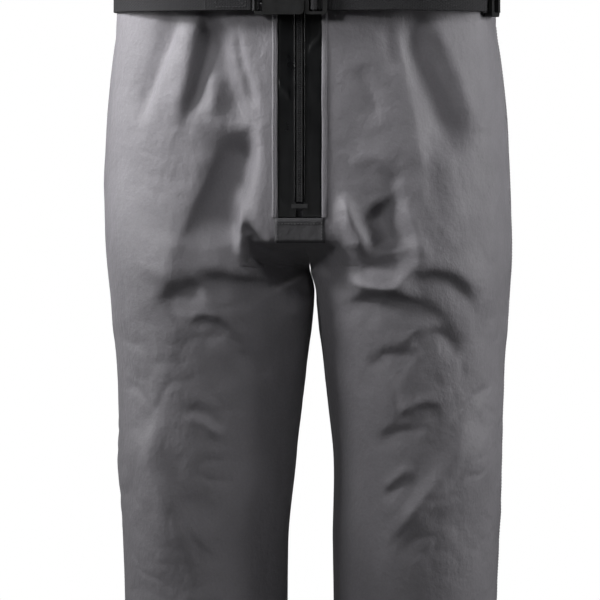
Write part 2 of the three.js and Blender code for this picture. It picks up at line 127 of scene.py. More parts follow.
class Shader:
    """A node material built on one Principled shader, mapped by the object's own coordinates."""

    def __init__(self, name, **values):
        self.material = bpy.data.materials.new(name)
        self.material.use_nodes = True
        tree = self.material.node_tree
        self.nodes, self.links = tree.nodes, tree.links
        self.shader = self.nodes["Principled BSDF"]
        self.fill(self.shader, values)
        self.place = self.nodes.new("ShaderNodeTexCoord").outputs["Object"]
        self.normal = None

    def fill(self, node, values):
        for key, value in values.items():
            node.inputs[key.replace("_", " ")].default_value = value

    def add(self, kind, source=None, socket=None, **values):
        """A new node with these input values, fed by the source at the socket."""
        node = self.nodes.new("ShaderNode" + kind)
        self.fill(node, values)
        if source is not None:
            self.links.new(source, node.inputs[socket])
        return node

    def noise(self, scale, detail=3.0, rough=0.55, stretch=(1, 1, 1)):
        place = self.mapped(stretch)
        node = self.add("TexNoise", place, "Vector", Scale=scale, Detail=detail, Roughness=rough)
        return node.outputs["Fac"]

    def mapped(self, stretch=(1, 1, 1), turn=(0, 0, 0)):
        return self.add("Mapping", self.place, "Vector", Scale=stretch, Rotation=turn).outputs["Vector"]

    def bands(self, pitch, direction, turn=(0, 0, 0), distortion=0.0):
        """Ridges one pitch apart, in metres, across a direction."""
        scale = 2 * math.pi / (20 * pitch)
        place = self.mapped(turn=turn)
        node = self.add("TexWave", place, "Vector", Scale=scale, Distortion=distortion, Detail=0)
        node.bands_direction = direction
        return node.outputs["Fac"]

    def math(self, kind, a, b):
        node = self.add("Math")
        node.operation = kind
        for socket, value in zip(node.inputs, (a, b)):
            if isinstance(value, (int, float)):
                socket.default_value = value
            else:
                self.links.new(value, socket)
        return node.outputs[0]

    def spread(self, value, low, high):
        """A noise factor as a number from low to high."""
        limits = {"From_Min": 0.3, "From_Max": 0.7, "To_Min": low, "To_Max": high}
        return self.add("MapRange", value, "Value", **limits).outputs["Result"]

    def colour(self, value, low, high, start=0.3, end=0.7):
        node = self.add("ValToRGB", value, "Fac")
        for element, position, tone in zip(node.color_ramp.elements, (start, end), (low, high)):
            element.position = position
            element.color = (*tone, 1)
        self.to(node.outputs["Color"], "Base Color")

    def bump(self, height, depth, strength):
        node = self.add("Bump", height, "Height", Strength=strength, Distance=depth)
        if self.normal is not None:
            self.links.new(self.normal, node.inputs["Normal"])
        self.normal = node.outputs["Normal"]
        self.to(self.normal, "Normal")

    def to(self, value, socket):
        self.links.new(value, self.shader.inputs[socket])


def tinted(tone, share):
    return tuple(c * share for c in tone)


def coated_cloth(name, tone):
    """Woven cloth under a thin coat: a fine grid, cloudy colour and a soft sheen."""
    made = Shader(name, Roughness=0.62, Sheen_Weight=0.10, Sheen_Roughness=0.45, Specular_IOR_Level=0.30)
    cloud = made.noise(9, 5, 0.6, (1, 1, 0.7))
    fleck = made.noise(420, 3, 0.7)
    both = made.math("ADD", made.math("MULTIPLY", cloud, 0.7), made.math("MULTIPLY", fleck, 0.3))
    made.colour(both, tinted(tone, 0.84), tinted(tone, 1.14), 0.35, 0.65)
    made.to(made.spread(made.noise(30, 4), 0.54, 0.70), "Roughness")
    grid = made.math("MAXIMUM", *[made.bands(0.0011, way, distortion=0.3) for way in "XZ"])
    made.bump(grid, 0.00010, 0.5)
    made.bump(made.noise(160, 4, 0.65), 0.0008, 0.6)
    made.bump(made.noise(75, 4, 0.6, (1, 1, 0.6)), 0.0022, 0.6)
    made.bump(made.noise(34, 4, 0.6), 0.0033, 0.5)
    return made.material


def plain_cloth(name, tone):
    """Matt knitted or brushed cloth for the inside."""
    made = Shader(name, Roughness=0.85, Sheen_Weight=0.3, Sheen_Roughness=0.5)
    made.colour(made.noise(300, 3, 0.7), tinted(tone, 0.75), tinted(tone, 1.25))
    made.bump(made.math("MAXIMUM", made.bands(0.0014, "X"), made.bands(0.0009, "Z")), 0.0002, 0.6)
    return made.material


def laminate(name):
    """Glossy black film on the zip tape, with the cloth's grain just showing through."""
    made = Shader(name, Roughness=0.3, Coat_Weight=0.08, Coat_Roughness=0.2, Specular_IOR_Level=0.2)
    made.colour(made.noise(60, 4), (0.002, 0.0022, 0.0026), (0.005, 0.0054, 0.006))
    made.to(made.spread(made.noise(45, 4, 0.6), 0.26, 0.46), "Roughness")
    made.bump(made.bands(0.0008, "Z"), 0.00004, 0.4)
    made.bump(made.noise(70, 3, 0.5, (1, 1, 0.5)), 0.0011, 0.4)
    return made.material


def webbing_cloth(name):
    """Tight diagonal weave of thick yarn."""
    made = Shader(name, Roughness=0.75, Sheen_Weight=0.05, Sheen_Roughness=0.4, Specular_IOR_Level=0.3)
    slant = made.bands(0.0022, "Z", turn=(0, math.radians(45), 0))
    yarn = made.bands(0.0011, "Z")
    cross = made.bands(0.0017, "X")
    weave = made.math("MULTIPLY", made.math("MAXIMUM", slant, cross), made.math("ADD", 0.5, yarn))
    made.colour(weave, (0.005, 0.0049, 0.0058), (0.016, 0.0155, 0.018), 0.2, 0.9)
    made.bump(weave, 0.0004, 0.8)
    made.bump(made.noise(500, 2), 0.0001, 0.5)
    return made.material


def moulded_plastic(name, tone=0.007, rough=0.46):
    """Injection-moulded nylon: an even, faintly pitted skin that is rubbed brighter in places."""
    made = Shader(name, Roughness=rough, Specular_IOR_Level=0.32)
    made.colour(made.noise(90, 4), (tone * 0.8,) * 3, (tone * 1.4, tone * 1.42, tone * 1.5))
    made.to(made.spread(made.noise(140, 5, 0.65), rough * 0.8, rough * 1.3), "Roughness")
    made.bump(made.noise(1500, 2), 0.00006, 0.5)
    return made.material


def enamelled_metal(name):
    made = Shader(name, Roughness=0.3, Metallic=0.35)
    made.colour(made.noise(200, 4), (0.014, 0.014, 0.016), (0.03, 0.03, 0.033))
    made.to(made.spread(made.noise(300, 5, 0.7), 0.22, 0.45), "Roughness")
    made.bump(made.noise(900, 3), 0.00005, 0.6)
    return made.material


def sewing_thread(name, tone):
    made = Shader(name, Roughness=0.6, Sheen_Weight=0.2)
    made.colour(made.noise(900, 2), tinted(tone, 0.8), tinted(tone, 1.2))
    made.bump(made.bands(0.0005, "Z", turn=(0, 0.6, 0)), 0.0001, 0.6)
    return made.material


def studio_floor(name):
    made = Shader(name, Roughness=0.7, Emission_Color=(1, 1, 1, 1), Emission_Strength=0.7)
    made.colour(made.noise(3, 3), (0.60, 0.60, 0.60), (0.63, 0.63, 0.63))
    return made.material


# The end patch is the shell's coated cloth at a third of its tone: painted shade for the hollow it sits in.
SHADED_PATCH_CLOTH = coated_cloth("patch_cloth_painted_shade", (0.055, 0.054, 0.058))
SHELL = coated_cloth("shell_cloth", (0.173, 0.167, 0.181))
TRIM = coated_cloth("trim_cloth", (0.178, 0.174, 0.184))
LINING = plain_cloth("lining_cloth", (0.05, 0.05, 0.055))
PAD_COVER = plain_cloth("pad_cover_cloth", (0.045, 0.045, 0.05))
TAPE = laminate("zip_film")
WEBBING = webbing_cloth("webbing_weave")
PLASTIC = moulded_plastic("buckle_nylon")
TEETH = moulded_plastic("zip_nylon", 0.018, 0.34)
METAL = enamelled_metal("slider_enamel")
THREAD = sewing_thread("grey_thread", (0.12, 0.118, 0.125))
DARK_THREAD = sewing_thread("black_thread", (0.03, 0.03, 0.033))

# ---------------- meshes


def add_mesh(name, points, faces, material, slot, body=GARMENT, replaces=()):
    mesh = bpy.data.meshes.new(name)
    mesh.from_pydata([tuple(p) for p in np.asarray(points, float).tolist()], [], faces)
    mesh.materials.append(material)
    mesh.polygons.foreach_set("use_smooth", np.ones(len(mesh.polygons), bool))
    mesh.update()
    obj = placed(name, mesh)
    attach(obj, body)
    if replaces:
        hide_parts(*replaces)
    return obj


def grid_faces(rows, columns, closed=False, start=0, flip=False):
    i, j = np.meshgrid(np.arange(rows - 1), np.arange(columns - (0 if closed else 1)), indexing="ij")
    k = (j + 1) % columns
    quads = np.stack([i * columns + j, i * columns + k, (i + 1) * columns + k, (i + 1) * columns + j], -1)
    quads = quads.reshape(-1, 4) + start
    return (quads[:, ::-1] if flip else quads).tolist()


def shell_of(outer, inner, flip=False):
    """Points and faces of a closed skin from two grids of points of one shape."""
    rows, columns = outer.shape[:2]
    n = rows * columns
    points = np.concatenate([outer.reshape(-1, 3), inner.reshape(-1, 3)])
    faces = grid_faces(rows, columns, flip=flip) + grid_faces(rows, columns, start=n, flip=not flip)
    first, last = np.arange(columns), np.arange(columns) + n - columns
    left, right = np.arange(rows) * columns, np.arange(rows) * columns + columns - 1
    for edge, back in ((first, True), (last, False), (left, False), (right, True)):
        for a, b in zip(edge[:-1].tolist(), edge[1:].tolist()):
            face = [a, b, b + n, a + n]
            faces.append(face if back == flip else face[::-1])
    return points, faces


def add_grid(name, grid, flip, material, **facts):
    """One open face of cloth from a grid of points."""
    faces = grid_faces(*grid.shape[:2], flip=flip)
    return add_mesh(name, grid.reshape(-1, 3), faces, material, **facts)


def add_doubled(name, outer, inner, material, slot, node, flip=False):
    """A closed skin between two grids that stands for a node."""
    obj = add_mesh(name, *shell_of(outer, inner, flip=flip), material, slot=slot, replaces=(node,))


def unit(vectors):
    return vectors / np.maximum(np.linalg.norm(vectors, axis=-1, keepdims=True), 1e-12)


def surface_normals(grid):
    return unit(np.cross(np.gradient(grid, axis=1), np.gradient(grid, axis=0)))


def run_along(line):
    """The length of the line up to each of its points."""
    return np.concatenate([[0], np.cumsum(np.linalg.norm(np.diff(line, axis=0), axis=1))])


def along_run(values, run, want):
    """Points or normals that belong to the lengths in run, at the lengths wanted."""
    return np.stack([np.interp(want, run, values[:, k]) for k in range(values.shape[1])], -1)


def even_line(points, count):
    """The same line with its points evenly spaced."""
    points = np.asarray(points, float)
    run = run_along(points)
    return along_run(points, run, np.linspace(0, run[-1], count))


def plan_normals(line):
    """The outward side of a line in plan that runs with the object on its left."""
    tangent = unit(np.gradient(line, axis=0))
    return np.column_stack([tangent[:, 1], -tangent[:, 0]])


def raised(plan, z):
    """Points in plan, put at a height."""
    return np.column_stack([plan, np.full(len(plan), z)])


def row_facing(points, out):
    """A row of points, all with the one normal."""
    return np.asarray(points), np.tile(out, (len(points), 1))


def smooth(t):
    t = np.clip(t, 0, 1)
    return t * t * (3 - 2 * t)


def lattice(ix, iy, iz, seed):
    """A repeatable number from 0 to 1 for each whole-number place."""
    h = (ix * 374761393 + iy * 668265263 + iz * 2147483647 + seed * 1274126177) & 0xFFFFFFFF
    h = ((h ^ (h >> 13)) * 1103515245) & 0xFFFFFFFF
    h = ((h ^ (h >> 16)) * 2246822519) & 0xFFFFFFFF
    return ((h ^ (h >> 15)) & 0xFFFF) / 65535.0


def noise(x, y, z, seed):
    """Smooth value noise from -1 to 1, one cell per unit."""
    fx, fy, fz = np.floor(x), np.floor(y), np.floor(z)
    ix, iy, iz = fx.astype(np.int64), fy.astype(np.int64), fz.astype(np.int64)
    tx, ty, tz = smooth(x - fx), smooth(y - fy), smooth(z - fz)
    total = 0
    for dx in (0, 1):
        for dy in (0, 1):
            for dz in (0, 1):
                weight = (tx if dx else 1 - tx) * (ty if dy else 1 - ty) * (tz if dz else 1 - tz)
                total = total + weight * lattice(ix + dx, iy + dy, iz + dz, seed)
    return 2 * total - 1


def creased(x, y, z, seed):
    """Rounded pads between sharp creases, from 0 in a crease to 1."""
    bend = 0.7 * noise(x * 0.6, y * 0.6, z * 0.6, seed + 1)
    return np.minimum(np.abs(noise(x + bend, y, z - bend, seed)) * 1.5, 1) ** 0.9


# ---------------- the body of the trousers

CROTCH_Z = 0.798
FULL_HIP_Z = 0.862
BAND_Z = 1.076
TOP_Z = 1.146
HEM_Z = 0.028
WAIST_SIDE = 0.2017
WAIST_FRONT = 0.130
WAIST_BACK = 0.136
LEG_ROUND = 2.15
WAIST_ROUND = 2.6
FLY_HALF = 0.0236
WINDOW_FOOT = 0.829
FLY_FOLD_TOP = 0.826
TUCK_TOP = 0.828
SWAY = 0.004
LEG_GAP = 0.005
PAD_FOOT = 0.110
PAD_TOP = 0.785
FRONT_PITCH, FRONT_COLUMNS = 2.2 * MM, 150
BACK_PITCH, BACK_COLUMNS = 3.6 * MM, 96

# The stations of the CAD body in millimetres: height, half width, inner edge, front and back depth.
STATIONS = np.array(
    [
        [0, 188, 27, 84, 86],
        [150, 190, 26.5, 86, 92],
        [300, 194, 26, 90, 97],
        [441, 199, 25, 97, 94],
        [510, 202, 24, 101, 98],
        [600, 205, 19.5, 106, 106],
        [665, 206.5, 12, 111, 114],
        [700, 208, 8.5, 114, 119],
        [730, 211, 4.3, 117, 125],
        [762, 213, 1.6, 121, 131],
        [785, 215, 0.6, 125, 137],
        [798, 216, 0, 127, 141],
        [803, 216.3, -3, 128, 143],
        [810, 216.6, -14, 128.5, 145],
        [820, 217, -45, 129, 147],
        [832, 217.2, -100, 129.6, 149],
        [845, 217.2, -165, 130, 151],
        [862, 217, -217, 130, 152],
        [890, 216.7, -216.7, 130, 152],
        [925, 215, -215, 130, 150],
        [955, 213.5, -213.5, 130, 147.5],
        [986, 210.8, -210.8, 130, 144],
        [1018, 207, -207, 130, 140],
        [1056, 201.7, -201.7, 130, 136],
        [1146, 201.7, -201.7, 130, 136],
    ]
)


def station(column, z):
    """A cubic through one column of STATIONS, in metres, that never overshoots it."""
    h = STATIONS[:, 0] * MM
    v = STATIONS[:, column] * MM
    step = np.diff(h)
    slope = np.diff(v) / step
    product = slope[:-1] * slope[1:]
    total = slope[:-1] + slope[1:]
    safe = np.where(np.abs(total) < 1e-12, 1, total)
    inner = np.where(product > 0, 2 * product / safe, 0)
    tangent = np.concatenate([[0], inner, [0]])
    z = np.clip(z, h[0], h[-1])
    i = np.clip(np.searchsorted(h, z) - 1, 0, len(step) - 1)
    t = (z - h[i]) / step[i]
    t2, t3 = t * t, t**3
    return (
        (2 * t3 - 3 * t2 + 1) * v[i]
        + (t3 - 2 * t2 + t) * step[i] * tangent[i]
        + (3 * t2 - 2 * t3) * v[i + 1]
        + (t3 - t2) * step[i] * tangent[i + 1]
    )


def section(z, facing):
    """One level outline of the wearer's left half, from the side seam to the centre or inner seam."""
    t = smooth((z - 0.700) / (FULL_HIP_Z - 0.700))
    power = 2 / (LEG_ROUND + (WAIST_ROUND - LEG_ROUND) * t)
    side = float(station(1, z))
    inner = -side if z >= FULL_HIP_Z else float(station(2, z))
    depth = float(station(3 if facing < 0 else 4, z))
    centre, half = (side + inner) / 2, (side - inner) / 2
    reach = min(1.0, centre / half)
    end = math.pi if inner >= 0 else math.pi - math.acos(reach ** (1 / power))
    a = np.linspace(0, end, 700)
    c, s = np.cos(a), np.clip(np.sin(a), 0, 1)
    x = centre + half * np.sign(c) * np.abs(c) ** power
    y = facing * depth * s**power
    return np.stack([x, y], -1)


def outline_row(z, facing, columns, inner_x):
    """Evenly spaced points along a level outline, stopping at inner_x where a window is cut."""
    points = section(z, facing)
    if inner_x > 0:
        keep = points[:, 0] >= inner_x
        last = np.array([[inner_x, np.interp(inner_x, points[::-1, 0], points[::-1, 1])]])
        points = np.concatenate([points[keep], last])
    return even_line(points, columns)


# ---------------- folds

# Each fold is a soft line on the cloth: its width on the side to the left of its travel and on the
# other, its height, then its points (x, z) as seen from the front, all in millimetres.
# A line that runs down has +X on its first side, and one that runs towards +X has its upper side first.
FRONT_FOLDS = [
    # wearer's right hip: two pleats from under the belt and the fork between them
    (6, 15, -6.5, (-128, 1070), (-143, 1030), (-160, 990), (-176, 945)),
    (5, 20, 6.0, (-107, 1072), (-112, 1030), (-120, 985), (-131, 944)),
    (12, 6, -7.5, (-99, 1074), (-101, 1030), (-111, 985), (-124, 950)),
    (7, 17, -9.0, (-88, 1066), (-81, 1010), (-69, 970), (-58, 942)),
    (9, 9, 3.0, (-92, 1006), (-92, 980), (-90, 955)),
    (4, 9, -4.0, (-69, 1050), (-60, 1010), (-50, 980), (-43, 955)),
    # hollow beside the fly, the thin ridge inside it and the crest outside it
    (9, 33, -17.0, (-55, 950), (-60, 915), (-68, 880), (-74, 845), (-78, 812)),
    (5, 6, 6.0, (-67, 890), (-65, 855), (-63, 820), (-60, 795)),
    (6, 24, 5.0, (-86, 938), (-101, 895), (-118, 857), (-133, 820)),
    (6, 14, -8.0, (-68, 842), (-48, 829), (-28, 821)),
    (9, 6, -7.0, (-58, 832), (-53, 812), (-50, 792)),
    (14, 20, 4.0, (-130, 835), (-140, 800), (-150, 775)),
    # creases across the right thigh
    (6, 16, -4.5, (-154, 757), (-132, 773), (-110, 785)),
    (6, 17, -5.0, (-118, 790), (-80, 783), (-46, 778), (-6, 771)),
    (18, 8, 4.0, (-158, 762), (-135, 778), (-112, 792), (-85, 794), (-60, 789), (-40, 785)),
    (5, 9, 3.2, (-112, 780), (-102, 764), (-91, 747), (-72, 724)),
    (5, 12, -3.0, (-122, 735), (-106, 741), (-90, 735), (-76, 724)),
    (9, 5, 2.0, (-124, 743), (-106, 749), (-88, 743)),
    (8, 8, 3.0, (-28, 742), (-12, 756), (-2, 770)),
    (5, 5, -2.2, (-128, 649), (-104, 641), (-84, 625)),
    (4, 6, 2.4, (-130, 641), (-108, 632), (-88, 616)),
    (5, 12, -2.4, (-78, 700), (-62, 703), (-50, 692), (-42, 676)),
    (12, 30, 8.5, (-165, 645), (-157, 580), (-130, 520), (-96, 488)),
    (14, 8, -2.0, (-146, 548), (-118, 502), (-86, 474)),
    (10, 14, 2.5, (-60, 600), (-40, 570), (-30, 520)),
    # wearer's left hip
    (14, 8, 4.5, (138, 1072), (150, 1030), (168, 985), (184, 930)),
    (10, 30, -8.5, (115, 1076), (128, 1020), (148, 965), (164, 905)),
    (8, 24, 5.0, (97, 1074), (105, 1020), (117, 965), (123, 912), (126, 875)),
    (12, 20, 3.0, (120, 905), (124, 870), (140, 842), (166, 820)),
    (6, 8, -2.5, (92, 1060), (94, 1030), (100, 1000)),
    (9, 12, -2.5, (60, 1015), (72, 985), (82, 945)),
    (10, 8, 2.0, (50, 905), (78, 915), (95, 900)),
    (8, 10, -2.5, (95, 905), (100, 870), (118, 848)),
    (16, 12, 3.0, (150, 930), (156, 880), (160, 830)),
    # hook beside the fly: a crest, the pocket behind it and the turned-up edge below
    (6, 14, 9.0, (42, 878), (52, 852), (64, 828), (65, 806)),
    (16, 14, -14.0, (74, 866), (87, 842), (94, 812)),
    (8, 7, 4.5, (100, 872), (116, 846), (124, 815), (122, 796)),
    (7, 6, 7.0, (40, 786), (70, 780), (98, 778), (122, 796)),
    (8, 7, -4.2, (50, 799), (72, 796), (92, 800), (108, 808)),
    # creases across the left thigh
    (6, 14, -4.0, (97, 771), (119, 785), (144, 786), (161, 778), (180, 751)),
    (14, 6, 4.0, (98, 780), (120, 795), (146, 796), (168, 786), (186, 762)),
    (6, 14, -3.6, (32, 752), (64, 762), (92, 762), (128, 752), (156, 728), (164, 704)),
    (10, 5, 3.0, (32, 762), (64, 773), (92, 773), (130, 764)),
    (6, 14, -3.2, (64, 686), (82, 703), (104, 705), (120, 697)),
    (5, 14, -3.6, (106, 710), (128, 722), (143, 726), (156, 716), (163, 698)),
    (9, 6, 1.8, (100, 718), (124, 734), (146, 739), (164, 726)),
    (5, 11, -2.8, (97, 634), (120, 645), (146, 650)),
    (7, 4, 2.5, (95, 642), (120, 653), (146, 658)),
    (5, 10, -3.0, (72, 612), (98, 624), (132, 627)),
    (5, 10, -2.6, (80, 552), (98, 566), (118, 579)),
    # seams of the shaped knee
    (3, 3, -1.3, (-197, 680), (-186, 672), (-168, 655), (-156, 640)),
    (3, 3, -1.3, (198, 675), (186, 666), (161, 642), (150, 632)),
    (3, 3, -1.0, (-160, 624), (-150, 568), (-122, 514), (-90, 484)),
    (3, 3, -1.0, (171, 614), (156, 570), (124, 534), (86, 500)),
    (6, 4, 2.0, (80, 562), (96, 575), (116, 589)),
    (28, 9, 8.0, (172, 640), (158, 598), (130, 556), (92, 508)),
    (10, 10, -2.5, (150, 545), (124, 520), (98, 490)),
    (10, 10, 2.0, (110, 590), (100, 560), (86, 530)),
    # lower legs
    (9, 16, -3.5, (-150, 420), (-115, 400), (-70, 405)),
    (18, 12, 4.0, (-140, 340), (-120, 260), (-125, 180)),
    (12, 18, 3.5, (-70, 330), (-60, 240), (-66, 150)),
    (7, 16, -6.0, (-160, 120), (-115, 98), (-65, 112)),
    (6, 12, -4.5, (-150, 74), (-105, 62), (-60, 78)),
    (16, 8, 4.0, (-160, 135), (-115, 115), (-65, 128)),
    (8, 16, -3.5, (60, 430), (105, 405), (150, 415)),
    (14, 18, 4.0, (78, 350), (70, 270), (78, 190)),
    (18, 12, 3.5, (145, 330), (140, 240), (135, 160)),
    (7, 15, -6.0, (58, 116), (110, 94), (160, 108)),
    (6, 11, -4.5, (65, 72), (105, 58), (150, 70)),
    (16, 8, 4.0, (58, 132), (110, 110), (160, 124)),
]

BACK_FOLDS = [
    (8, 20, -9.0, (-175, 800), (-120, 772), (-50, 782), (-12, 800)),
    (20, 8, -9.0, (175, 806), (120, 776), (50, 784), (12, 800)),
    (6, 15, -5.0, (-170, 742), (-115, 726), (-45, 738)),
    (6, 15, -5.0, (45, 744), (105, 728), (170, 738)),
    (6, 12, -3.5, (-150, 700), (-100, 688), (-60, 694)),
    (6, 12, -3.5, (60, 700), (110, 690), (150, 698)),
    (14, 10, -4.0, (-60, 1040), (-78, 960), (-110, 880)),
    (10, 14, -4.0, (60, 1040), (82, 955), (112, 880)),
    (12, 12, -6.0, (-10, 960), (-16, 900), (-10, 850)),
    (12, 12, -6.0, (10, 960), (14, 900), (10, 850)),
    (7, 18, -8.0, (-175, 520), (-115, 492), (-50, 514)),
    (7, 16, -7.0, (-165, 478), (-110, 455), (-55, 470)),
    (8, 14, -4.0, (-160, 560), (-105, 540), (-60, 552)),
    (7, 18, -8.0, (50, 526), (110, 496), (175, 512)),
    (7, 16, -7.0, (55, 482), (108, 458), (165, 474)),
    (8, 14, -4.0, (60, 566), (112, 545), (160, 556)),
    (20, 14, 4.5, (-130, 400), (-120, 300), (-126, 200)),
    (14, 20, 4.5, (120, 400), (128, 300), (120, 200)),
    (8, 18, -7.0, (-165, 130), (-110, 105), (-55, 122)),
    (7, 12, -5.0, (-155, 84), (-105, 66), (-60, 80)),
    (8, 18, -7.0, (55, 128), (110, 102), (165, 118)),
    (7, 12, -5.0, (60, 80), (110, 62), (155, 76)),
]


def smooth_path(points, steps=7):
    """The soft line through a few points (Catmull-Rom)."""
    p = np.array(points, float)
    p = np.concatenate([[2 * p[0] - p[1]], p, [2 * p[-1] - p[-2]]])
    out = []
    for i in range(1, len(p) - 2):
        for t in np.linspace(0, 1, steps, endpoint=False):
            a, b, c, d = p[i - 1], p[i], p[i + 1], p[i + 2]
            square, cube = 2 * a - 5 * b + 4 * c - d, 3 * b - a - 3 * c + d
            out.append(0.5 * (2 * b + (c - a) * t + square * t**2 + cube * t**3))
    out.append(p[-2])
    return np.array(out)


def fold_height(fold, x, z):
    """What one fold adds at each place, in metres."""
    left, right, height, *points = fold
    line = smooth_path(points) * MM
    reach = 3.2 * max(left, right) * MM
    near = (
        (x > line[:, 0].min() - reach)
        & (x < line[:, 0].max() + reach)
        & (z > line[:, 1].min() - reach)
        & (z < line[:, 1].max() + reach)
    )
    out = np.zeros_like(x)
    if not near.any():
        return out
    px, pz = x[near], z[near]
    best = np.full(px.shape, 1e9)
    side = np.zeros_like(px)
    run = np.zeros_like(px)
    lengths = np.linalg.norm(np.diff(line, axis=0), axis=1)
    before = run_along(line)
    for i, length in enumerate(lengths):
        (ax, az), (bx, bz) = line[i], line[i + 1]
        dx, dz = (bx - ax) / length, (bz - az) / length
        along = np.clip((px - ax) * dx + (pz - az) * dz, 0, length)
        ox, oz = px - ax - along * dx, pz - az - along * dz
        distance = np.hypot(ox, oz)
        closer = distance < best
        best = np.where(closer, distance, best)
        side = np.where(closer, dx * oz - dz * ox, side)
        run = np.where(closer, (before[i] + along) / before[-1], run)
    blend = smooth(side / (0.6 * min(left, right) * MM) * 0.5 + 0.5)
    width = (right + (left - right) * blend) * MM
    soft = min(max(0.16 * (left + right), 2.0), 5.0) * MM
    crest = np.sqrt(best**2 + soft**2) - soft
    across = np.exp(-((crest / width) ** 1.35) * 1.08)
    taper = smooth(run / 0.28) * smooth((1 - run) / 0.28)
    ends = 0.12 + 0.88 * taper
    out[near] = 1.3 * height * MM * across * ends
    return out


def all_folds(folds, x, z):
    return sum(fold_height(fold, x, z) for fold in folds)


CROTCH_TUCK = [
    (20, 24, -34.0, (-12, 826), (-10, 810), (2, 790)),
    (12, 12, -8.0, (-34, 822), (-30, 802), (-20, 780)),
    (12, 12, -8.0, (26, 824), (26, 806), (18, 785)),
]


def hip_sway(z):
    """The legs stand a few millimetres to the wearer's left of the hips."""
    return SWAY * smooth((0.90 - z) / 0.15)


def displaced(x, y, z, share, facing):
    """Folds, seams and slow unevenness on one panel. share runs from 0 at the side seam to 1."""
    leg = smooth((CROTCH_Z + 0.004 - z) / 0.02)
    edge = smooth(share / 0.10) * (1 - leg * smooth((share - 0.88) / 0.12))
    below_band = smooth((BAND_Z + 0.010 - z) / 0.030)
    above_hem = smooth((z - HEM_Z) / 0.030)
    folds = all_folds(FRONT_FOLDS if facing < 0 else BACK_FOLDS, x, z)
    if facing < 0:
        fly = smooth((np.abs(x) - 0.031) / 0.020)
        folds = folds * (fly + (1 - fly) * smooth((FLY_FOLD_TOP - z) / 0.012))
    slow = 1.5 * MM * noise(x * 11, y * 11, z * 8, 3) + 0.7 * MM * noise(x * 26, y * 26, z * 20, 5)
    fine = 0.22 * MM * noise(x * 70, y * 70, z * 60, 7)
    crumple = 1.3 * MM * (creased(x * 15, y * 15, z * 19, 41) - 0.6)
    crumple += 1.1 * MM * (creased(x * 38, y * 38, z * 44, 43) - 0.6)
    where = smooth((noise(x * 7, y * 7, z * 6, 47) + 0.35) / 0.5) * (0.35 + 0.65 * smooth((0.82 - z) / 0.1))
    fine = fine + crumple * where
    flat_fly = 1 - (facing < 0) * (1 - smooth((np.abs(x) - 0.028) / 0.02)) * (z > 0.82)
    slow = (slow + fine) * flat_fly
    side = -0.9 * MM * np.exp(-(((share - 0.012) / 0.008) ** 2))
    return (folds * edge + slow * (0.25 + 0.75 * edge)) * below_band * above_hem + side


def softened(values, spread):
    """Each column averaged along the height with a bell of that many rows."""
    reach = int(3 * spread)
    kernel = np.exp(-0.5 * (np.arange(-reach, reach + 1) / spread) ** 2)
    kernel /= kernel.sum()
    padded = np.concatenate([values[:1].repeat(reach, 0), values, values[-1:].repeat(reach, 0)])
    return sum(k * padded[i : i + len(values)] for i, k in enumerate(kernel))


def eased(x, y, share, pitch):
    """Depths averaged up and down at the same x, so hip and leg run into each other without a shelf.

    The columns are evened out the same way, so the mesh doesn't shear where the legs part.
    """
    level = np.linspace(0, 0.23, 300)
    depth = np.array([np.interp(level, a[::-1], b[::-1]) for a, b in zip(x, y)])
    near, far = softened(depth, 0.012 / pitch), softened(depth, 0.034 / pitch)
    inside = smooth((share - 0.03) / 0.12)
    moved = x + (softened(x, 0.014 / pitch) - x) * smooth((x - 0.030) / 0.035) * inside
    wide = smooth((moved - 0.06) / 0.06)
    plain = np.array([np.interp(m, a[::-1], b[::-1]) for m, a, b in zip(moved, x, y)])
    soft = [
        np.interp(a, level, n) * (1 - w) + np.interp(a, level, f) * w
        for a, n, f, w in zip(moved, near, far, wide)
    ]
    return moved, plain + (np.array(soft) - plain) * smooth((moved - 0.024) / 0.03) * inside


def panel_grid(side, facing, pitch, columns):
    """The finished outer face of one panel as a grid of points."""
    low, high = HEM_Z + 0.5 * MM, BAND_Z - 0.5 * MM
    z = np.linspace(low, high, int((high - low) / pitch) + 1)
    rows = []
    for level in z:
        window = FLY_HALF * float(smooth((level - WINDOW_FOOT) / 0.020)) if facing < 0 else 0.0
        rows.append(outline_row(level, facing, columns, window))
    flat = np.array(rows)
    x, y = flat[..., 0], flat[..., 1]
    share = np.broadcast_to(np.linspace(0, 1, columns), x.shape)
    x, y = eased(x, y, share, pitch)
    zz = np.broadcast_to(z[:, None], x.shape)
    base_area = flat_area(np.stack([x, y, zz], -1))
    base = np.stack([x * side, y, zz], -1)
    normal = surface_normals(np.stack([x, y, zz], -1)) * facing
    normal[..., 0] *= side
    height = displaced(base[..., 0], base[..., 1], zz, share, facing)
    if facing < 0:
        base[..., 1] -= all_folds(CROTCH_TUCK, base[..., 0], zz) * smooth((TUCK_TOP - zz) / 0.008)
    grid = settled(base + normal * height[..., None], side, facing)
    low = lowest(height, int(0.012 / pitch))

    def inner(depth):
        return settled(base + normal * (low - depth)[..., None], side, facing)

    return grid, base_area, inner


def settled(grid, side, facing):
    """Kept on its own side of the seams, and swayed with the legs."""
    limit = 0.25 * MM * smooth((0.80 - grid[..., 2]) / 0.01)
    grid[..., 0] = side * np.maximum(side * grid[..., 0], limit)
    grid[..., 1] = facing * np.maximum(facing * grid[..., 1], limit)
    gap = LEG_GAP * smooth((0.80 - grid[..., 2]) / 0.03) * smooth((grid[..., 2] - 0.50) / 0.10)
    grid[..., 0] += hip_sway(grid[..., 2]) + gap * np.exp(-((grid[..., 0] / 0.08) ** 2))
    return grid


def lowest(height, reach):
    """The lowest height near each place, then smoothed, so a layer under it clears every fold."""
    for _ in range(2):
        padded = np.pad(height, ((reach, reach), (0, 0)), constant_values=np.inf)
        height = np.min([padded[i : i + len(height)] for i in range(2 * reach + 1)], axis=0).T
    height = softened(height, reach / 3)
    return np.minimum(softened(height.T, reach / 3).T, 0)


